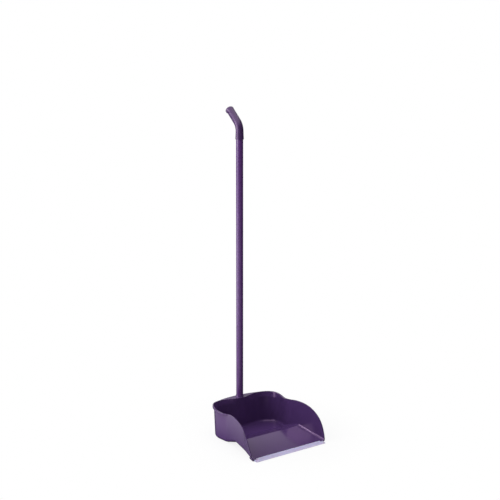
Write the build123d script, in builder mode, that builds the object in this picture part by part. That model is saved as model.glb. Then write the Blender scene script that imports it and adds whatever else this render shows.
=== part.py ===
from build123d import *
import os
from math import atan2, cos, hypot, radians, tan

# Long-handled dustpan. +Z is up, +Y points to the rear where the pole stands and -Y to the mouth.
# The origin is on the floor, in the middle of the flat underside of the bin.

# Pole
pole_diameter = 22.0
pole_length = 893.0
pole_y = 53.6
skin_thickness = 0.4
tube_wall = 0.5
plug_head = 3.0
plug_depth = 26.0
plug_wall = 2.0

# Pan: levels of the rim, seen from the side
rim_height = 98.5
rear_height = 96.5
dip_height = 90.3
brow_height = 76.9
toe_height = 8.0
hump_y = 44.0
dip_y = -20.0
shoulder_y = -89.0
brow_y = -164.9
front_y = -206.0
toe_lean = 17.0

# Pan: walls and floor
wall = 2.5
floor_thickness = 2.5
slope_foot_y = -40.0
slope_blend = 60.0
ridge_y = -100.0
ridge_height = 22.2
ramp_end_y = -201.5
ramp_end_height = 5.5
ramp_crown = 1.0
foot_rounding = 6.0
inner_fillet = 8.0

# Pan: corners of the outer face at the rim, at the neck below it and at the floor, for the half at +X
bay_half = 14.0
bay_end_half = 60.0
rim_rear_y = 59.5
rim_rear_half = 130.0
rim_waist_half = 118.7
rim_waist_y = -51.0
rim_flare_half = 136.5
rim_front_half = 152.0
foot_bay_y = 38.5
neck_drop = 16.0
neck_rear_y = 54.4
neck_rear_half = 125.8
foot_rear_y = 46.0
foot_rear_half = 124.4
waist_lean = 2.7
foot_waist_y = -49.0
flare_lean = 9.9
foot_front_half = 135.2
flare_y = -160.0
rim_bay_rounding = 40.0
foot_bay_rounding = 60.0
rim_corner_rounding = 64.0
foot_corner_rounding = 48.0
waist_rounding = 112.0
flare_rounding = 150.0
mouth_overrun = 40.0
straight_share = 0.98

# Pan: turned-out rim and rear shelf
flange_reach = 4.1
flange_end_reach = 2.0
flange_height = 4.5
flange_cap = 2.5
flange_skirt = 2.0
shelf_y = 72.0
shelf_half = 42.0
shelf_rounding = 200.0
shelf_corner_y = 37.0
flange_corner_rounding = 58.0
flange_end_y = -72.0

# Pan: pole socket
socket_clearance = 0.25
socket_depth = 62.5
socket_wall = 2.6
socket_floor = 2.5
collar_height = 5.7
collar_flare = 1.6
collar_lip = 0.8
gusset_thickness = 2.5
gusset_reach = 34.0
gusset_drop = 45.0

# Pan: front bar that holds the lip
bar_depth = 12.0
bar_height = 8.0
mouth_half = 119.0
groove_inset = 3.5
groove_height = 2.9
bead_diameter = 2.6
groove_clearance = 0.3
throat_half = 0.95
throat_flare = 0.65

# Lip
neck_thickness = 1.2
lip_gap = 0.6
lip_front_y = -219.5
lip_root_height = 5.3
lip_edge_height = 1.0
lip_bottom = 0.3
lip_half = 129.0
lip_end_gap = 0.5
rib_band = 9.0
rib_pitch = 4.0
rib_groove = 1.6
rib_depth = 0.45

# Hand grip
grip_socket = 22.0
grip_neck = 1.5
grip_bend_radius = 42.0
grip_bend_angle = 47.6
grip_upper = 56.8
grip_diameter = 24.0
grip_collar_diameter = 25.8
grip_chamfer = 0.8
grip_clearance = 0.1
grip_wall = 3.0
grip_end_wall = 8.0
pommel_length = 12.0
pommel_diameter = 28.8
pommel_rounding = 4.2

# Worked out from the sizes above
socket_bore = pole_diameter + 2 * socket_clearance
socket_bottom = rim_height - socket_depth
pole_bottom = socket_bottom + plug_head
pole_top = pole_bottom + pole_length
grip_bottom = pole_top - grip_socket
tube_diameter = pole_diameter - 2 * skin_thickness
tube_bore = tube_diameter - 2 * tube_wall
rim_bay_y = pole_y - socket_bore / 2
neck_height = rim_height - neck_drop
outer_fillet = inner_fillet + wall
foot_waist_half = rim_waist_half - waist_lean
foot_flare_half = rim_flare_half - flare_lean
rear_slope = (rim_height - rear_height) / (shelf_y - hump_y)
groove_y = ramp_end_y + groove_inset
reach_y = front_y - mouth_overrun
half_span = 2 * rim_front_half


def along_side(waist, front, y):
    """Half width at y on the straight side that runs through the waist and the front corner."""
    share = (y - waist[1]) / (front[1] - waist[1])
    return waist[0] + share * (front[0] - waist[0])


def outline_corners(bay_y, rear_y, rear_half, waist, flare, front):
    """Corners of half the pan's outline, from the middle of the bay to past the mouth."""
    return [
        (0, bay_y),
        (bay_half, bay_y),
        (bay_end_half, rear_y),
        (rear_half, rear_y),
        waist,
        flare,
        (along_side(flare, front, reach_y), reach_y),
    ]


def inward(start, end):
    """Unit normal of an outline edge, to the inside of the pan."""
    length = hypot(end[0] - start[0], end[1] - start[1])
    return Vector((end[1] - start[1]) / length, (start[0] - end[0]) / length)


def inset_outline(corners, roundings, amount):
    """The corners and roundings of an outline that lies inside another by an even amount."""
    normals = [inward(start, end) for start, end in zip(corners, corners[1:])]
    moved = [Vector(*corners[0]) + normals[0] * amount]
    radii = []
    for corner, before, after, rounding in zip(corners[1:], normals, normals[1:], roundings):
        moved.append(Vector(*corner) + (before + after) * (amount / (1 + before.dot(after))))
        turns_in = before.cross(after).Z < 0
        radii.append(rounding - amount if turns_in else rounding + amount)
    moved.append(Vector(*corners[-1]) + normals[-1] * amount)
    return [(point.X, point.Y) for point in moved], radii


def fitted_roundings(corners, roundings):
    """Roundings drawn in where two of them would meet on one side of the outline."""
    normals = [inward(start, end) for start, end in zip(corners, corners[1:])]
    lengths = [hypot(end[0] - start[0], end[1] - start[1]) for start, end in zip(corners, corners[1:])]
    tangents = [
        rounding * tan(radians(before.get_angle(after)) / 2)
        for rounding, before, after in zip(roundings, normals, normals[1:])
    ]
    taken = [first + second for first, second in zip([0] + tangents, tangents + [0])]
    shares = [min(1, straight_share * length / used) for length, used in zip(lengths, taken)]
    return [rounding * min(pair) for rounding, pair in zip(roundings, zip(shares, shares[1:]))]


def outline_face(level, corners, roundings):
    """Face of the whole outline at one level."""
    with BuildSketch(Plane.XY.offset(level)) as face:
        with BuildLine():
            side = FilletPolyline(*corners, radius=fitted_roundings(corners, roundings))
            Line(side @ 1, (0, (side @ 1).Y))
            mirror(about=Plane.YZ)
        make_face()
    return face.sketch


def between(foot, rim):
    """Value at the neck on a straight line from the floor to the rim."""
    return foot + (rim - foot) * neck_height / rim_height


def tub(amount):
    """Solid inside the pan's outer face by an amount, from the floor to the rim."""
    foot = inset_outline(foot_corners, foot_roundings, amount)
    neck = inset_outline(neck_corners, neck_roundings, amount)
    rim = inset_outline(rim_corners, rim_roundings, amount)
    faces = [outline_face(0, *foot), outline_face(neck_height, *neck), outline_face(rim_height, *rim)]
    with BuildPart() as solid:
        loft(faces, ruled=True)
    return solid.part


def part_of_tub(solid, space, rounding):
    """The part of a tub that lies in a space, with a rounding along the edge of its base."""
    with BuildPart() as piece:
        add(solid)
        add(space, mode=Mode.INTERSECT)
        fillet(base_edges(piece, ridge_height), rounding)
    return piece.part


def rear_level(y):
    """Height of the rim at y, behind the humps."""
    return rim_height - rear_slope * (y - hump_y)


def under_rim(drop):
    """Everything below the rim line, or below that line moved down."""
    with BuildPart() as solid:
        with BuildSketch(Plane.YZ):
            with BuildLine():
                rear = (half_span, rear_level(half_span) - drop)
                hump = (hump_y, rim_height - drop)
                dip = (dip_y, dip_height - drop)
                shoulder = (shoulder_y, rim_height - drop)
                brow = (brow_y, brow_height - drop)
                toe = (front_y, toe_height - drop)
                Line(rear, hump)
                Spline(hump, dip, shoulder, tangents=[(-1, rear_slope), (-1, 0)])
                Spline(shoulder, brow, toe, tangents=[(-1, 0), (-tan(radians(toe_lean)), -1)])
                Polyline(toe, (front_y, -half_span), (half_span, -half_span), rear)
            make_face()
        extrude(amount=half_span, both=True)
    return solid.part


def above_bin(drop):
    """Everything above the bin's floor, behind the ridge; drop 0 is the floor's upper face."""
    with BuildPart() as solid:
        with BuildSketch(Plane.YZ):
            with BuildLine():
                base = FilletPolyline(
                    (half_span, floor_thickness - drop),
                    (slope_foot_y, floor_thickness - drop),
                    (ridge_y, ridge_height - drop),
                    radius=slope_blend,
                )
                Polyline(base @ 1, (ridge_y, half_span), (half_span, half_span), base @ 0)
            make_face()
        extrude(amount=half_span, both=True)
    return solid.part


def above_ramp(drop):
    """Everything above the ramp and its run-out past the mouth; drop 0 is the ramp's upper face."""
    with BuildPart() as solid:
        with BuildSketch(Plane.YZ):
            with BuildLine():
                ridge = (ridge_y, ridge_height - drop)
                end = (ramp_end_y, ramp_end_height - drop)
                ramp = SagittaArc(end, ridge, ramp_crown)
                run_out = ramp @ 0 - (ramp % 0) * 2 * mouth_overrun
                Polyline(end, run_out, (run_out.X, half_span), (ridge_y, half_span), ridge)
            make_face()
        extrude(amount=half_span, both=True)
    return solid.part


def base_edges(solid, height):
    """The edges where the walls of a tub meet its base, but for its open front."""
    return [
        edge
        for edge in solid.edges()
        if abs(edge.center().X) > wall and edge.center().Z < height and edge.center().Y > reach_y + wall
    ]


def grip_route(start, upper):
    """Middle line of the grip, from a height on the pole to a length past the bend."""
    with BuildLine(Plane.YZ) as route:
        lower = Line((pole_y, start), (pole_y, pole_top + grip_neck))
        bend = JernArc(lower @ 1, lower % 1, grip_bend_radius, -grip_bend_angle)
        Line(bend @ 1, bend @ 1 + (bend % 1) * upper)
    return route.wires()[0]


rim_corners = outline_corners(
    rim_bay_y,
    rim_rear_y,
    rim_rear_half,
    (rim_waist_half, rim_waist_y),
    (rim_flare_half, flare_y),
    (rim_front_half, front_y),
)
foot_corners = outline_corners(
    foot_bay_y,
    foot_rear_y,
    foot_rear_half,
    (foot_waist_half, foot_waist_y),
    (foot_flare_half, flare_y),
    (foot_front_half, front_y),
)
neck_corners = [
    (between(foot[0], rim[0]), between(foot[1], rim[1])) for foot, rim in zip(foot_corners, rim_corners)
]
neck_corners[2:4] = [(bay_end_half, neck_rear_y), (neck_rear_half, neck_rear_y)]
rim_roundings = [rim_bay_rounding, rim_bay_rounding, rim_corner_rounding, waist_rounding, flare_rounding]
foot_roundings = [foot_bay_rounding, foot_bay_rounding, foot_corner_rounding, waist_rounding, flare_rounding]
neck_roundings = [between(foot, rim) for foot, rim in zip(foot_roundings, rim_roundings)]
outer_tub = tub(0)
inner_tub = tub(wall)

# The pan and its hollow, each as the bin behind the ridge and the scoop above the ramp
bin_body = part_of_tub(outer_tub, above_bin(floor_thickness), outer_fillet)
scoop_body = part_of_tub(outer_tub, above_ramp(floor_thickness), outer_fillet)
bin_hollow = part_of_tub(inner_tub, above_bin(0), inner_fillet)
scoop_hollow = part_of_tub(inner_tub, above_ramp(0), inner_fillet)

# Rim turned out at the rear and the sides, which widens to a shelf around the pole
flange_waist = (rim_waist_half, rim_waist_y)
flange_rear = (rim_rear_half, rim_rear_y)
flange_cosine = cos(atan2(rim_rear_half - rim_waist_half, rim_rear_y - rim_waist_y))
flange_corners = [
    (0, shelf_y),
    (shelf_half, shelf_y),
    (along_side(flange_waist, flange_rear, shelf_corner_y) + flange_reach / flange_cosine, shelf_corner_y),
    (along_side(flange_waist, flange_rear, flange_end_y) + flange_end_reach / flange_cosine, flange_end_y),
]
flange_roundings = [shelf_rounding, flange_corner_rounding]
flange_inside = inset_outline(flange_corners, flange_roundings, flange_skirt)
with BuildPart() as flange_hollow:
    extrude(outline_face(0, *flange_inside), amount=rim_height)
    add(under_rim(flange_cap), mode=Mode.INTERSECT)

with BuildPart() as flange:
    extrude(outline_face(0, flange_corners, flange_roundings), amount=rim_height)
    add(under_rim(0), mode=Mode.INTERSECT)
    add(under_rim(flange_height), mode=Mode.SUBTRACT)
    add(flange_hollow.part, mode=Mode.SUBTRACT)
    add(outer_tub, mode=Mode.SUBTRACT)

# Socket behind the bay, with a gusset to the shelf on each side
socket_top = rear_level(pole_y) - flange_cap / 2
collar_top = rear_level(pole_y) + collar_height

with BuildPart() as socket:
    with BuildSketch(Plane.XY.offset(socket_bottom - socket_floor)):
        with Locations((0, pole_y)):
            Circle(socket_bore / 2 + socket_wall)
            Rectangle(socket_bore + 2 * socket_wall, pole_y, align=(Align.CENTER, Align.MAX))
    extrude(amount=socket_top - socket_bottom + socket_floor)
    with BuildSketch(Plane.XZ.offset(-pole_y)):
        with BuildLine():
            Polyline(
                (0, socket_top),
                (socket_bore / 2 + gusset_reach, socket_top),
                (socket_bore / 2, socket_top - gusset_drop),
                (0, socket_top - gusset_drop),
            )
            mirror(about=Plane.YZ)
        make_face()
    extrude(amount=gusset_thickness / 2, both=True)
    add(inner_tub, mode=Mode.SUBTRACT)

with BuildPart() as collar:
    with Locations((0, pole_y, socket_top)):
        Cone(
            socket_bore / 2 + collar_lip + collar_flare,
            socket_bore / 2 + collar_lip,
            collar_top - socket_top,
            align=(Align.CENTER, Align.CENTER, Align.MIN),
        )

# Bar under the end of the ramp, with a foot at each end that reaches past the ramp
with BuildPart() as bar:
    add(outer_tub)
    fillet(base_edges(bar, foot_rounding), foot_rounding)
    with Locations((0, front_y, 0)):
        Box(
            half_span,
            bar_depth + ramp_end_y - front_y,
            bar_height,
            align=(Align.CENTER, Align.MIN, Align.MIN),
            mode=Mode.INTERSECT,
        )

# Groove for the lip's bead, which opens to the front
with BuildPart() as groove:
    with BuildSketch(Plane.YZ):
        with Locations((groove_y, groove_height)):
            Circle(bead_diameter / 2 + groove_clearance)
        with BuildLine():
            throat = bead_diameter / 2
            Polyline(
                (groove_y, groove_height - throat_half),
                (groove_y, groove_height + throat_half),
                (groove_y - throat, groove_height + throat_half),
                (ramp_end_y - lip_gap, groove_height + throat_half + throat_flare),
                (ramp_end_y - lip_gap, groove_height - throat_half),
                close=True,
            )
        make_face()
    extrude(amount=mouth_half, both=True)

with BuildPart() as pan:
    add(bin_body)
    add(scoop_body)
    add(bar.part)
    add(bin_hollow, mode=Mode.SUBTRACT)
    add(scoop_hollow, mode=Mode.SUBTRACT)
    add(under_rim(0), mode=Mode.INTERSECT)
    with Locations((0, ramp_end_y, 0)):
        Box(
            2 * mouth_half,
            mouth_overrun,
            half_span,
            align=(Align.CENTER, Align.MAX, Align.CENTER),
            mode=Mode.SUBTRACT,
        )
    add(groove.part, mode=Mode.SUBTRACT)
    add(flange.part)
    add(socket.part)
    add(collar.part)
    with Locations((0, pole_y, socket_bottom)):
        Cylinder(
            socket_bore / 2,
            collar_top - socket_bottom,
            align=(Align.CENTER, Align.CENTER, Align.MIN),
            mode=Mode.SUBTRACT,
        )
pan.part.label = "pan"

# Lip: a strip whose bead sits in the groove, with a wide ribbed edge in front of the feet
with BuildPart() as lip_strip:
    rib_count = int(2 * lip_half / rib_pitch)
    lip_root_y = ramp_end_y - lip_gap
    lip_wide_y = front_y - lip_gap
    slope = (lip_root_height - lip_edge_height) / (lip_root_y - lip_front_y)
    wide_height = lip_edge_height + slope * (lip_wide_y - lip_front_y)
    with BuildSketch(Plane.YZ):
        with Locations((groove_y, groove_height)):
            Circle(bead_diameter / 2)
        with BuildLine():
            Polyline(
                (groove_y, groove_height - neck_thickness / 2),
                (groove_y, groove_height + neck_thickness / 2),
                (lip_root_y, groove_height + neck_thickness / 2),
                (lip_root_y, lip_root_height),
                (lip_wide_y, wide_height),
                (lip_wide_y, lip_bottom),
                (lip_root_y, lip_bottom),
                (lip_root_y, groove_height - neck_thickness / 2),
                close=True,
            )
        make_face()
    extrude(amount=mouth_half - lip_end_gap, both=True)
    with BuildSketch(Plane.YZ):
        with BuildLine():
            Polyline(
                (lip_wide_y, lip_bottom),
                (lip_wide_y, wide_height),
                (lip_front_y, lip_edge_height),
                (lip_front_y, lip_bottom),
                close=True,
            )
        make_face()
    extrude(amount=lip_half, both=True)
    with BuildSketch(Plane((0, lip_front_y, lip_edge_height), x_dir=(1, 0, 0), z_dir=(0, -slope, 1))):
        with GridLocations(rib_pitch, 0, rib_count, 1):
            Rectangle(rib_groove, rib_band, align=(Align.CENTER, Align.MIN))
    extrude(amount=-rib_depth, mode=Mode.SUBTRACT)
lip_strip.part.label = "lip_strip"

with BuildPart() as pole_tube:
    with BuildSketch(Plane.XY.offset(pole_bottom)):
        with Locations((0, pole_y)):
            Circle(tube_diameter / 2)
            Circle(tube_bore / 2, mode=Mode.SUBTRACT)
    extrude(amount=pole_length)
pole_tube.part.label = "pole_tube"

with BuildPart() as pole_skin:
    with BuildSketch(Plane.XY.offset(pole_bottom)):
        with Locations((0, pole_y)):
            Circle(pole_diameter / 2)
            Circle(tube_diameter / 2, mode=Mode.SUBTRACT)
    extrude(amount=pole_length)
pole_skin.part.label = "pole_skin"

with BuildPart() as pole_end_plug:
    with BuildSketch(Plane.XY.offset(socket_bottom)):
        with Locations((0, pole_y)):
            Circle(pole_diameter / 2)
    extrude(amount=plug_head)
    with BuildSketch(Plane.XY.offset(pole_bottom)):
        with Locations((0, pole_y)):
            Circle(tube_bore / 2)
            Circle(tube_bore / 2 - plug_wall, mode=Mode.SUBTRACT)
    extrude(amount=plug_depth)
pole_end_plug.part.label = "pole_end_plug"

# Grip: straight over the pole, bent to the rear, with a pommel that swells on its underside
grip_line = grip_route(grip_bottom, grip_upper)
grip_hollow_line = grip_route(pole_top, grip_upper - grip_end_wall)
tip = Plane(grip_line @ 1, x_dir=(1, 0, 0), z_dir=grip_line % 1)

with BuildPart() as grip_hollow:
    with BuildSketch(Plane.XY.offset(pole_top)):
        with Locations((0, pole_y)):
            Circle(grip_diameter / 2 - grip_wall)
    sweep(path=grip_hollow_line)

with BuildPart() as hand_grip:
    with BuildSketch(Plane.XY.offset(grip_bottom)):
        with Locations((0, pole_y)):
            Circle(grip_diameter / 2)
    sweep(path=grip_line)
    with Locations((0, pole_y, grip_bottom)):
        Cone(
            grip_collar_diameter / 2,
            grip_diameter / 2,
            grip_socket + grip_neck,
            align=(Align.CENTER, Align.CENTER, Align.MIN),
        )
    with BuildSketch(tip.offset(-pommel_length)):
        Circle(grip_diameter / 2)
    with BuildSketch(tip):
        with Locations((0, (pommel_diameter - grip_diameter) / 2)):
            Circle(pommel_diameter / 2)
    loft()
    fillet(hand_grip.faces().sort_by(Axis(tip.origin, tip.z_dir))[-1].edges(), pommel_rounding)
    chamfer(hand_grip.faces().sort_by(Axis.Z)[0].edges(), grip_chamfer)
    add(grip_hollow.part, mode=Mode.SUBTRACT)
    with Locations((0, pole_y, grip_bottom)):
        Cylinder(
            pole_diameter / 2 + grip_clearance,
            grip_socket,
            align=(Align.CENTER, Align.CENTER, Align.MIN),
            mode=Mode.SUBTRACT,
        )
hand_grip.part.label = "hand_grip"

os.makedirs("parts", exist_ok=True)
export_step(pan.part, "parts/pan.step")
export_step(lip_strip.part, "parts/lip_strip.step")
export_step(pole_tube.part, "parts/pole_tube.step")
export_step(pole_skin.part, "parts/pole_skin.step")
export_step(pole_end_plug.part, "parts/pole_end_plug.step")
export_step(hand_grip.part, "parts/hand_grip.step")
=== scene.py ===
"""Dressed visual model of a long-handled dustpan: pan, soft lip, pole and hand grip."""

import logging
import math
from dataclasses import dataclass
from enum import Enum
from typing import Any, ClassVar

import bmesh
import bpy
from mathutils import Euler, Matrix, Vector

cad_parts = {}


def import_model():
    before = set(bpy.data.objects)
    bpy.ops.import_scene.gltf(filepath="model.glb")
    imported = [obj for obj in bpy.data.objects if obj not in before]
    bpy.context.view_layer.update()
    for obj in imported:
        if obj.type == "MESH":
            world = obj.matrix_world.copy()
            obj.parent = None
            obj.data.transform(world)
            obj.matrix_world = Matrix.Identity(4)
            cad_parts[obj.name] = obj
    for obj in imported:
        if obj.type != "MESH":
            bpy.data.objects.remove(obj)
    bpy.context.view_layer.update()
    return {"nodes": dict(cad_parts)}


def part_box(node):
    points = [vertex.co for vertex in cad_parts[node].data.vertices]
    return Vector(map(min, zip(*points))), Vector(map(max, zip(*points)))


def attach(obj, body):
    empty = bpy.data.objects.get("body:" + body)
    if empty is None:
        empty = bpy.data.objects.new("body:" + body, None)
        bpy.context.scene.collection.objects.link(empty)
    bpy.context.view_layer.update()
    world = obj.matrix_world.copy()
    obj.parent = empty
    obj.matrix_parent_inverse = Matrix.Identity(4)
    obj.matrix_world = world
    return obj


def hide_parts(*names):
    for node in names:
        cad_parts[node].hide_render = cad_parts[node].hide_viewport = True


LOG = logging.getLogger("dustpan")
MM = 0.001

Colour = tuple[float, float, float]
Point = tuple[float, float, float]
Span = tuple[float, float]

WHITE: Colour = (1.0, 1.0, 1.0)
UP: Point = (0.0, 0.0, 1.0)
REAR: Point = (0.0, 1.0, 0.0)
LEFT: Point = (-1.0, 0.0, 0.0)


class Node(Enum):
    """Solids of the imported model."""

    PAN = "pan"
    LIP = "lip_strip"
    TUBE = "pole_tube"
    FILM = "pole_skin"
    PLUG = "pole_end_plug"
    GRIP = "hand_grip"


class Value:
    """A node's output that takes part in shader maths."""

    def __init__(self, graph: "Graph", socket: bpy.types.NodeSocket) -> None:
        """Keeps the socket and the graph that it belongs to."""
        self.graph = graph
        self.socket = socket

    def maths(self, operation: str, left: Any, right: Any) -> "Value":
        """Adds a Math node.

        Args:
            operation: Name of the Math node's operation.
            left: First value, a number or a Value.
            right: Second value, a number or a Value.

        Returns:
            The node's result.
        """
        return self.graph.node("ShaderNodeMath", {"operation": operation}, {0: left, 1: right})

    def __add__(self, other: Any) -> "Value":
        """Sum of this value and another."""
        return self.maths("ADD", self, other)

    def __radd__(self, other: Any) -> "Value":
        """Sum of a number and this value."""
        return self.maths("ADD", other, self)

    def __sub__(self, other: Any) -> "Value":
        """This value less another."""
        return self.maths("SUBTRACT", self, other)

    def __rsub__(self, other: Any) -> "Value":
        """A number less this value."""
        return self.maths("SUBTRACT", other, self)

    def __mul__(self, other: Any) -> "Value":
        """Product of this value and another."""
        return self.maths("MULTIPLY", self, other)

    def __rmul__(self, other: Any) -> "Value":
        """Product of a number and this value."""
        return self.maths("MULTIPLY", other, self)


class Graph:
    """The node tree of one material or of the world.

    Attributes:
        OUTPUT_KIND: Start of an output node's type.
        SEEN_RAYS: The rays that see the studio's white.
        MIX_FIRST: Index of a Mix node's first colour.
        MIX_SECOND: Index of its second colour.
        MIX_RESULT: Index of its resulting colour.
        EDGE_SAMPLES: Number of samples that find the edges near a place.
    """

    OUTPUT_KIND: ClassVar[str] = "ShaderNodeOutput"
    SEEN_RAYS: ClassVar[tuple[str, ...]] = ("Is Camera Ray", "Is Glossy Ray", "Is Transmission Ray")
    MIX_FIRST: ClassVar[int] = 6
    MIX_SECOND: ClassVar[int] = 7
    MIX_RESULT: ClassVar[int] = 2
    EDGE_SAMPLES: ClassVar[int] = 4

    def __init__(self, owner: bpy.types.Material | bpy.types.World) -> None:
        """Empties the owner's node tree, but for its output node."""
        owner.use_nodes = True
        self.tree = owner.node_tree
        self.output = next(node for node in self.tree.nodes if node.bl_idname.startswith(self.OUTPUT_KIND))
        for node in [node for node in self.tree.nodes if node != self.output]:
            self.tree.nodes.remove(node)

    def node(
        self,
        kind: str,
        settings: dict[str, Any] | None = None,
        sockets: dict[int | str, Any] | None = None,
        output: int | str = 0,
    ) -> Value:
        """Adds a node.

        Args:
            kind: The node's type.
            settings: Its own settings, set first.
            sockets: Numbers, colours or Values for its inputs, by name or index.
            output: Name or index of the output that is used.

        Returns:
            That output.
        """
        made = self.tree.nodes.new(kind)
        for name, setting in (settings or {}).items():
            setattr(made, name, setting)
        for key, given in (sockets or {}).items():
            socket = made.inputs[key]
            if isinstance(given, Value):
                self.tree.links.new(given.socket, socket)
            elif socket.type == "RGBA":
                socket.default_value = (*given, 1.0)
            else:
                socket.default_value = given
        return Value(self, made.outputs[output])

    def place(self) -> Value:
        """Place on the object, in metres."""
        return self.node("ShaderNodeTexCoord", output="Object")

    def stretched(self, place: Value, stretch: Point) -> Value:
        """Place multiplied along each axis."""
        return self.node("ShaderNodeVectorMath", {"operation": "MULTIPLY"}, {0: place, 1: stretch})

    def noise(self, place: Value, size: float, detail: float = 2.0) -> Value:
        """Noise from 0 to 1 whose blotches have about a given size in metres."""
        sockets = {"Vector": place, "Scale": 1.0 / size, "Detail": detail}
        return self.node("ShaderNodeTexNoise", sockets=sockets)

    def blend(self, share: Value, first: Any, second: Any) -> Value:
        """Colour between two colours."""
        sockets = {0: share, self.MIX_FIRST: first, self.MIX_SECOND: second}
        return self.node("ShaderNodeMix", {"data_type": "RGBA"}, sockets, self.MIX_RESULT)

    def smooth(self, value: Value, span: Span) -> Value:
        """Value that rises smoothly from 0 at the span's start to 1 at its end."""
        sockets = {0: value, 1: span[0], 2: span[1]}
        return self.node("ShaderNodeMapRange", {"interpolation_type": "SMOOTHSTEP"}, sockets)

    def along(self, vector: Value, aim: Any) -> Value:
        """Share of a vector along an aim of length 1, a direction or a Value."""
        return self.node("ShaderNodeVectorMath", {"operation": "DOT_PRODUCT"}, {0: vector, 1: aim}, "Value")

    def rounded(self, radius: float) -> Value:
        """Normal of the surface with its edges rounded by a radius in metres."""
        return self.node("ShaderNodeBevel", {"samples": self.EDGE_SAMPLES}, {"Radius": radius})

    def rays(self) -> tuple[Value, Value]:
        """Tells rays apart.

        Returns:
            1 for rays from the camera, and 1 for rays by way of a glossy surface or through glass.
        """
        camera, glossy, through = (self.node("ShaderNodeLightPath", output=name) for name in self.SEEN_RAYS)
        return camera, glossy.maths("MAXIMUM", glossy, through)

    def white(self, kind: str, strength: float) -> Value:
        """White light of a given strength, from an emission or a background node."""
        return self.node(kind, sockets={"Color": WHITE, "Strength": strength})

    def mixed(self, share: Value, first: Value, second: Value) -> Value:
        """Shader between two shaders."""
        return self.node("ShaderNodeMixShader", sockets={0: share, 1: first, 2: second})

    def close(self, shader: Value) -> None:
        """Leads a shader to the output."""
        self.tree.links.new(shader.socket, self.output.inputs["Surface"])


@dataclass(frozen=True)
class Finish:
    """A moulded or drawn surface: colours, gloss, the grain that the light picks out and a highlight
    painted along its upper edges.

    Attributes:
        name: Name of the material.
        deep: Darker colour of the slow variation.
        pale: Lighter colour of the slow variation.
        edge: Lighter colour painted along the upper edges as a highlight.
        roughness: Middle roughness.
        roughness_spread: How much the roughness varies.
        tint: Colour of the reflections.
        cloud: Size of the slow colour variation in metres.
        grain: Size of the grain in metres.
        grain_height: Height of the grain in metres.
        stretch: Stretch of the grain along each axis; below 1 makes it longer.
        edge_radius: Rounding of the edges in metres.
        highlight_reach: How far the painted edge highlight reaches from an edge, in metres.
        metallic: Metallic share.
        glow: Share of light that goes under the surface.
        CLOUD_DETAIL: Detail of the slow colour variation.
        CLOUD_SPAN: Values of the slow variation at which the colour is darkest and lightest.
        HIGHLIGHT_TURN: Turn of the rounded normal at which the painted edge highlight starts and is full.
        HIGHLIGHT_RISE: Rise of the rounded normal at which the painted edge highlight starts and is full.
        HIGHLIGHT_LEAST: Least share of the painted edge highlight along an edge.
        HIGHLIGHT_LEAST: Least share of the wear along an edge.
        GLOW_DEPTH: How deep light goes under the surface, in metres.
    """

    CLOUD_DETAIL: ClassVar[float] = 3.0
    CLOUD_SPAN: ClassVar[Span] = (0.25, 0.75)
    HIGHLIGHT_TURN: ClassVar[Span] = (0.02, 0.3)
    HIGHLIGHT_RISE: ClassVar[Span] = (-0.2, 0.1)
    HIGHLIGHT_LEAST: ClassVar[float] = 0.4
    GLOW_DEPTH: ClassVar[float] = 0.002

    name: str
    deep: Colour
    pale: Colour
    edge: Colour
    roughness: float
    roughness_spread: float = 0.06
    tint: Colour = WHITE
    cloud: float = 0.06
    grain: float = 0.0007
    grain_height: float = 0.00001
    stretch: Point = (1.0, 1.0, 1.0)
    edge_radius: float = 0.0008
    highlight_reach: float = 0.0008
    metallic: float = 0.0
    glow: float = 0.0

    def material(self) -> bpy.types.Material:
        """Makes the material.

        Returns:
            The material, with all its nodes.
        """
        made = bpy.data.materials.new(self.name)
        graph = Graph(made)
        place = graph.place()
        cloud = graph.noise(place, self.cloud, self.CLOUD_DETAIL)
        grain = graph.noise(graph.stretched(place, self.stretch), self.grain)
        # Painted highlight: the lighter edge colour is laid along rounded edges that face up or sideways,
        # where light catches the rims, unevenly along their length.
        wide = graph.rounded(self.highlight_reach)
        turned = 1.0 - graph.along(wide, graph.node("ShaderNodeNewGeometry", output="Normal"))
        upper = graph.smooth(graph.along(wide, UP), self.HIGHLIGHT_RISE)
        painted_highlight_mask = graph.smooth(turned, self.HIGHLIGHT_TURN) * upper
        body = graph.blend(graph.smooth(cloud, self.CLOUD_SPAN), self.deep, self.pale)
        painted_highlight_share = painted_highlight_mask * (self.HIGHLIGHT_LEAST + (1.0 - self.HIGHLIGHT_LEAST) * cloud)
        sockets = {
            "Strength": 1.0,
            "Distance": self.grain_height,
            "Height": grain,
            "Normal": graph.rounded(self.edge_radius),
        }
        bump = graph.node("ShaderNodeBump", sockets=sockets)
        sockets = {
            "Base Color": graph.blend(painted_highlight_share, body, self.edge),
            "Roughness": (self.roughness - self.roughness_spread) + 2.0 * self.roughness_spread * cloud,
            "Metallic": self.metallic,
            "Specular Tint": self.tint,
            "Subsurface Weight": self.glow,
            "Subsurface Scale": self.GLOW_DEPTH,
            "Normal": bump,
        }
        graph.close(graph.node("ShaderNodeBsdfPrincipled", sockets=sockets))
        return made


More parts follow.
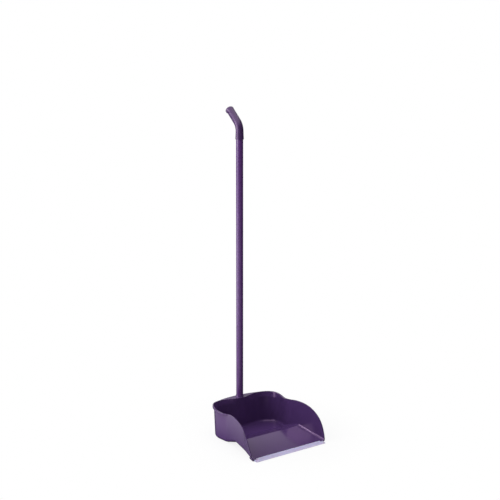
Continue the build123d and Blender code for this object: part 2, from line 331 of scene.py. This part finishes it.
# The edge colours below are highlights painted along the upper edges, lighter than each body colour.
PAN_PLASTIC = Finish(
    name="pan_satin_plastic",
    deep=(0.064, 0.030, 0.116),
    pale=(0.070, 0.033, 0.126),
    edge=(0.20, 0.145, 0.26),
    roughness=0.15,
    roughness_spread=0.04,
    tint=(0.96, 0.62, 1.0),
    highlight_reach=0.002,
)
POLE_FILM = Finish(
    name="pole_gloss_film",
    deep=(0.088, 0.028, 0.150),
    pale=(0.096, 0.031, 0.162),
    edge=(0.11, 0.05, 0.17),
    roughness=0.25,
    roughness_spread=0.02,
    grain_height=0.000003,
    stretch=(1.0, 1.0, 0.05),
    edge_radius=0.0003,
)
GRIP_PLASTIC = Finish(
    name="grip_gloss_plastic",
    deep=(0.052, 0.023, 0.088),
    pale=(0.058, 0.026, 0.097),
    edge=(0.10, 0.06, 0.15),
    roughness=0.32,
    roughness_spread=0.03,
    tint=(0.97, 0.74, 1.0),
    grain_height=0.000005,
)
LIP_RUBBER = Finish(
    name="lip_soft_rubber",
    deep=(0.48, 0.44, 0.66),
    pale=(0.53, 0.485, 0.71),
    edge=(0.55, 0.50, 0.70),
    roughness=0.5,
    cloud=0.02,
    grain=0.0004,
    edge_radius=0.0002,
    glow=0.15,
)
TUBE_STEEL = Finish(
    name="tube_drawn_steel",
    deep=(0.50, 0.50, 0.51),
    pale=(0.58, 0.58, 0.59),
    edge=(0.7, 0.7, 0.7),
    roughness=0.32,
    stretch=(1.0, 1.0, 0.02),
    edge_radius=0.0002,
    metallic=1.0,
)
PLUG_PLASTIC = Finish(
    name="plug_matt_plastic",
    deep=(0.05, 0.03, 0.08),
    pale=(0.06, 0.035, 0.09),
    edge=(0.10, 0.07, 0.13),
    roughness=0.5,
)


@dataclass
class Pan:
    """The moulded pan, which keeps its solid's shape."""

    finish: Finish = PAN_PLASTIC

    def dress(self, nodes: dict[str, bpy.types.Object]) -> None:
        """Gives the pan its finish.

        Args:
            nodes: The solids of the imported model.
        """
        dress_node(nodes, Node.PAN, self.finish)


@dataclass
class Lip:
    """The soft strip at the mouth: a bead in the pan's groove and a blade with a ribbed edge.

    Attributes:
        bead_y: Place of the bead's middle.
        bead_z: Height of the bead's middle.
        bead_radius: Radius of the bead.
        neck: Thickness of the neck between bead and blade.
        root_y: Rear face of the blade.
        root_half: Half the length of the part between the pan's feet.
        wide_y: Place where the blade widens, in front of the feet.
        edge_z: Height of the blade's front edge.
        nose: Rounding of the front edge.
        corner: Rounding of the blade's front corners, seen from above.
        rib_band: Depth of the ribbed edge.
        rib_pitch: Distance from rib to rib.
        rib_groove: Half the width of the groove between two ribs.
        rib_depth: Depth of the grooves.
        rib_nose: How far the front edge stands back at a groove.
        station: Distance between two cross sections.
        finish: The blade's finish.
        BODY: The moving body that carries the strip.
        SLOT: Name of a material slot.
        RIB_STEPS: Places of the points along a rib, as shares from the front edge to the rib's end.
        RIB_FADE: Share of a rib over which its groove runs out.
        NOSE_LEAN: How far the blade's front edge leans back, as a share of its rounding.
        BACK_STEPS: Places of the points behind the ribs, as shares of the way to the feet.
        BEAD_STEPS: Number of steps round the bead.
        SMOOTH_ANGLE: Angle in degrees up to which edges are shaded smooth.
    """

    BODY: ClassVar[str] = "lip"
    SLOT: ClassVar[str] = "lip_rubber"
    RIB_STEPS: ClassVar[tuple[float, ...]] = (0.0, 0.15, 0.35, 0.6, 0.8, 0.9, 1.0)
    RIB_FADE: ClassVar[float] = 0.2
    NOSE_LEAN: ClassVar[float] = 0.35
    BACK_STEPS: ClassVar[tuple[float, ...]] = (0.4, 1.0)
    BEAD_STEPS: ClassVar[int] = 12
    SMOOTH_ANGLE: ClassVar[float] = 35.0

    bead_y: float = -198.0 * MM
    bead_z: float = 2.9 * MM
    bead_radius: float = 1.3 * MM
    neck: float = 1.2 * MM
    root_y: float = -202.1 * MM
    root_half: float = 118.5 * MM
    wide_y: float = -206.6 * MM
    edge_z: float = 1.0 * MM
    nose: float = 0.3 * MM
    corner: float = 2.5 * MM
    rib_band: float = 9.0 * MM
    rib_pitch: float = 4.0 * MM
    rib_groove: float = 1.2 * MM
    rib_depth: float = 0.6 * MM
    rib_nose: float = 1.6 * MM
    station: float = 0.5 * MM
    finish: Finish = LIP_RUBBER

    def __post_init__(self) -> None:
        """Takes the strip's outer corners from its solid."""
        low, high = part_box(Node.LIP.value)
        self.half = high.x
        self.front_y = low.y
        self.bottom = low.z
        self.root_z = high.z
        self.slope = (self.root_z - self.edge_z) / (self.root_y - self.front_y)

    def groove_at(self, x: float) -> float:
        """Share of the groove's depth at a place along the strip.

        Args:
            x: Place along the strip.

        Returns:
            1 in the middle of a groove and 0 on a rib.
        """
        away = abs(x - self.rib_pitch * round(x / self.rib_pitch))
        share = min(1.0, away / self.rib_groove)
        return 0.5 + 0.5 * math.cos(math.pi * share)

    def front_at(self, x: float) -> float:
        """Front edge at a place along the strip.

        Args:
            x: Place along the strip.

        Returns:
            The edge's place across the strip.
        """
        into = min(self.corner, max(0.0, abs(x) - (self.half - self.corner)))
        back = self.corner - math.sqrt(self.corner**2 - into**2)
        return self.front_y + back + self.rib_nose * self.groove_at(x)

    def top_at(self, y: float) -> float:
        """Height of the blade's upper face at a place across the strip."""
        return self.edge_z + self.slope * (y - self.front_y)

    def blade(self, x: float) -> list[Point]:
        """Cross section of the blade in front of the feet.

        Args:
            x: Place along the strip.

        Returns:
            Points from the lower to the upper end of its rear face, round its front edge.
        """
        front = self.front_at(x)
        groove = self.groove_at(x)
        rib_end = self.front_y + self.rib_band
        points = [
            (self.wide_y, self.bottom),
            (front + self.nose, self.bottom),
            (front, self.bottom + self.nose),
        ]
        for share in self.RIB_STEPS:
            y = front + share * (rib_end - front)
            fade = min(1.0, (1.0 - share) / self.RIB_FADE)
            lean = self.NOSE_LEAN * self.nose if share == 0.0 else 0.0
            points.append((y + lean, self.top_at(y) - self.rib_depth * groove * fade))
        for share in self.BACK_STEPS:
            y = rib_end + share * (self.wide_y - rib_end)
            points.append((y, self.top_at(y)))
        return [(x, y, z) for y, z in points]

    def root(self, x: float) -> list[Point]:
        """Cross section of the part between the feet.

        Args:
            x: Place along the strip.

        Returns:
            Points from the upper to the lower end of the blade's rear face, round the bead.
        """
        points = [
            (self.root_y - self.nose, self.root_z - self.slope * self.nose),
            (self.root_y, self.root_z - self.nose - self.slope * self.nose),
            (self.root_y, self.bead_z + self.neck / 2),
        ]
        start = math.asin(self.neck / 2 / self.bead_radius)
        for step in range(self.BEAD_STEPS + 1):
            angle = math.pi - start - (2 * math.pi - 2 * start) * step / self.BEAD_STEPS
            y = self.bead_y + self.bead_radius * math.cos(angle)
            points.append((y, self.bead_z + self.bead_radius * math.sin(angle)))
        points += [(self.root_y, self.bead_z - self.neck / 2), (self.root_y, self.bottom)]
        return [(x, y, z) for y, z in points]

    def build(self) -> bpy.types.Object:
        """Builds the strip as one closed mesh.

        Returns:
            The strip, in its solid's place.
        """
        count = round(2 * self.half / self.station)
        stations = [-self.half + 2 * self.half * step / count for step in range(count + 1)]
        mesh = bmesh.new()
        blades = [[mesh.verts.new(point) for point in self.blade(x)] for x in stations]
        inner = [abs(x) <= self.root_half + self.station / 4 for x in stations]
        roots = [
            [mesh.verts.new(point) for point in self.root(x)] if within else []
            for x, within in zip(stations, inner)
        ]
        for index in range(count):
            wide = inner[index] and inner[index + 1]
            first = blades[index] + (roots[index] if wide else [])
            second = blades[index + 1] + (roots[index + 1] if wide else [])
            for here in range(len(first)):
                after = (here + 1) % len(first)
                mesh.faces.new((first[here], first[after], second[after], second[here]))
            if inner[index] != inner[index + 1]:
                at = index if inner[index] else index + 1
                mesh.faces.new([blades[at][-1], *roots[at], blades[at][0]])
        mesh.faces.new(blades[0])
        mesh.faces.new(blades[-1])
        bmesh.ops.recalc_face_normals(mesh, faces=mesh.faces)
        return finished_piece(mesh, "lip_blade", self.SMOOTH_ANGLE)

    def dress(self) -> None:
        """Builds the strip, dresses it and sets it in the place of its solid."""
        piece = self.build()
        piece.data.materials.append(self.finish.material())
        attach(piece, self.BODY)
        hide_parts(Node.LIP.value)
        LOG.info("%s: %d faces", piece.name, len(piece.data.polygons))


@dataclass
class Pole:
    """The upright tube with its film and its end plug."""

    film: Finish = POLE_FILM
    steel: Finish = TUBE_STEEL
    plug: Finish = PLUG_PLASTIC

    def dress(self, nodes: dict[str, bpy.types.Object]) -> None:
        """Gives the tube, its film and its plug their finishes.

        Args:
            nodes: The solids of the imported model.
        """
        dress_node(nodes, Node.FILM, self.film)
        dress_node(nodes, Node.TUBE, self.steel)
        dress_node(nodes, Node.PLUG, self.plug)


@dataclass
class Grip:
    """The bent hand grip on the pole's upper end."""

    finish: Finish = GRIP_PLASTIC

    def dress(self, nodes: dict[str, bpy.types.Object]) -> None:
        """Gives the grip its finish.

        Args:
            nodes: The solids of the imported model.
        """
        dress_node(nodes, Node.GRIP, self.finish)


@dataclass(frozen=True)
class Softbox:
    """One soft lamp.

    Attributes:
        name: Name of the lamp.
        place: Where it stands, in metres.
        aim: The point that it faces.
        width: Its width in metres.
        height: Its height in metres.
        power: Its power in watts.
    """

    name: str
    place: Point
    aim: Point
    width: float
    height: float
    power: float

    def build(self) -> None:
        """Sets up the lamp."""
        lamp = bpy.data.lights.new(self.name, "AREA")
        lamp.shape = "RECTANGLE"
        lamp.size = self.width
        lamp.size_y = self.height
        lamp.energy = self.power
        stand = bpy.data.objects.new(self.name, lamp)
        bpy.context.scene.collection.objects.link(stand)
        stand.location = self.place
        sight = Vector(self.aim) - Vector(self.place)
        stand.rotation_euler = sight.to_track_quat("-Z", "Y").to_euler()


TOP_LAMP = Softbox(
    name="top_lamp",
    place=(-0.3, 0.05, 2.8),
    aim=(0.0, -0.08, 0.1),
    width=3.2,
    height=3.2,
    power=60.0,
)
LEFT_LAMP = Softbox(
    name="left_lamp",
    place=(-1.14, 0.36, 0.92),
    aim=(0.0, 0.0, 0.9),
    width=1.05,
    height=1.8,
    power=17.0,
)
REAR_LAMP = Softbox(
    name="rear_lamp",
    place=(-0.85, 0.56, 1.0),
    aim=(0.13, -0.15, 0.02),
    width=0.24,
    height=0.42,
    power=2.6,
)


@dataclass
class Studio:
    """Pale floor, white surround and soft lamps.

    Attributes:
        floor_radius: Radius of the floor in metres.
        floor_sides: Number of sides of the floor's mesh.
        floor_colour: Colour of the floor under the object.
        shadow_share: Share of the floor that takes light and shadow, next to the object.
        shadow_fade: Distances from the middle between which the floor fades to white.
        ambient: Strength of the surround on matt surfaces.
        mirror_left: Distances to the left of the middle between which the mirrored floor turns white.
        band_rise: Heights of the direction between which the mirrored surround turns white.
        band_fall: Heights of the direction between which it turns dark again.
        band_rear: Reaches of the direction to the rear between which it turns white.
        lamps: The lamps.
    """

    floor_radius: float = 6.0
    floor_sides: int = 48
    floor_colour: Colour = (0.8, 0.8, 0.8)
    shadow_share: float = 0.16
    shadow_fade: Span = (0.12, 0.42)
    ambient: float = 0.24
    mirror_left: Span = (0.1, 0.22)
    band_rise: Span = (0.05, 0.4)
    band_fall: Span = (0.45, 0.85)
    band_rear: Span = (-0.2, 0.3)
    lamps: tuple[Softbox, ...] = (TOP_LAMP, LEFT_LAMP, REAR_LAMP)

    def floor(self) -> None:
        """Builds the floor, white to the eye but for the object's shadow."""
        mesh = bmesh.new()
        bmesh.ops.create_circle(mesh, cap_ends=True, segments=self.floor_sides, radius=self.floor_radius)
        piece = finished_piece(mesh, "studio_floor")
        made = bpy.data.materials.new("pale_floor")
        graph = Graph(made)
        place = graph.place()
        away = graph.node("ShaderNodeVectorMath", {"operation": "LENGTH"}, {0: place}, "Value")
        far = graph.smooth(away, self.shadow_fade)
        left = graph.smooth(graph.along(place, LEFT), self.mirror_left)
        matt = graph.node("ShaderNodeBsdfDiffuse", sockets={"Color": self.floor_colour})
        dark, white = (graph.white("ShaderNodeEmission", strength) for strength in (0.0, 1.0))
        camera, mirrored = graph.rays()
        share = camera * (1.0 - self.shadow_share * (1.0 - far)) + mirrored * left
        graph.close(graph.mixed(share, graph.mixed(mirrored, matt, dark), white))
        piece.data.materials.append(made)

    def surround(self) -> None:
        """Sets up the white surround."""
        world = bpy.data.worlds.new("studio_surround")
        bpy.context.scene.world = world
        graph = Graph(world)
        strengths = (self.ambient, 0.0, 1.0)
        dim, dark, white = (graph.white("ShaderNodeBackground", strength) for strength in strengths)
        direction = graph.node("ShaderNodeTexCoord", output="Generated")
        height = graph.along(direction, UP)
        above = graph.smooth(height, self.band_rise)
        below = 1.0 - graph.smooth(height, self.band_fall)
        rear = graph.smooth(graph.along(direction, REAR), self.band_rear)
        camera, mirrored = graph.rays()
        share = camera + mirrored * (above * below * rear)
        graph.close(graph.mixed(share, graph.mixed(mirrored, dim, dark), white))

    def build(self) -> None:
        """Builds the floor, the surround and the lamps."""
        self.floor()
        self.surround()
        for lamp in self.lamps:
            lamp.build()
        bpy.context.scene.view_settings.view_transform = "Standard"


@dataclass
class Viewpoint:
    """The camera.

    Attributes:
        place: Where it stands, in metres.
        pitch: Angle from straight down, in degrees.
        heading: Turn about the vertical, in degrees.
        roll: Turn about the line of sight, in degrees.
        lens: Focal length in millimetres.
        sensor: Width of the sensor in millimetres.
    """

    place: Point = (-1.4855, -2.1070, 0.9771)
    pitch: float = 81.171
    heading: float = -35.212
    roll: float = 0.085
    lens: float = 61.59
    sensor: float = 36.0

    def build(self) -> None:
        """Sets up the camera and makes it the scene's own."""
        camera = bpy.data.cameras.new("photo_camera")
        camera.lens = self.lens
        camera.sensor_width = self.sensor
        stand = bpy.data.objects.new("photo_camera", camera)
        bpy.context.scene.collection.objects.link(stand)
        stand.location = self.place
        turn = Euler((math.radians(self.pitch), 0.0, math.radians(self.heading))).to_matrix()
        stand.rotation_euler = (turn @ Matrix.Rotation(math.radians(self.roll), 3, "Z")).to_euler()
        bpy.context.scene.camera = stand


def finished_piece(
    mesh: bmesh.types.BMesh, name: str, smooth_angle: float | None = None
) -> bpy.types.Object:
    """Turns a mesh under construction into an object of the scene.

    Args:
        mesh: The mesh, which is freed.
        name: The object's name.
        smooth_angle: Angle in degrees up to which edges are shaded smooth, or None for flat faces.

    Returns:
        The object.
    """
    data = bpy.data.meshes.new(name)
    mesh.to_mesh(data)
    mesh.free()
    if smooth_angle is not None:
        data.shade_smooth()
        data.set_sharp_from_angle(angle=math.radians(smooth_angle))
    piece = bpy.data.objects.new(name, data)
    bpy.context.scene.collection.objects.link(piece)
    return piece


def dress_node(nodes: dict[str, bpy.types.Object], node: Node, finish: Finish) -> None:
    """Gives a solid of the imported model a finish.

    Args:
        nodes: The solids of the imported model.
        node: The solid.
        finish: Its finish.
    """
    slots = nodes[node.value].data.materials
    slots.clear()
    slots.append(finish.material())
    LOG.info("%s: %s", node.value, finish.name)


def main() -> None:
    """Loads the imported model, dresses it and sets up the studio."""
    logging.basicConfig(level=logging.INFO, format="%(name)s: %(message)s")
    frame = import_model()
    nodes = frame["nodes"]
    Viewpoint().build()
    Pan().dress(nodes)
    Lip().dress()
    Pole().dress(nodes)
    Grip().dress(nodes)
    Studio().build()


if __name__ == "__main__":
    main()
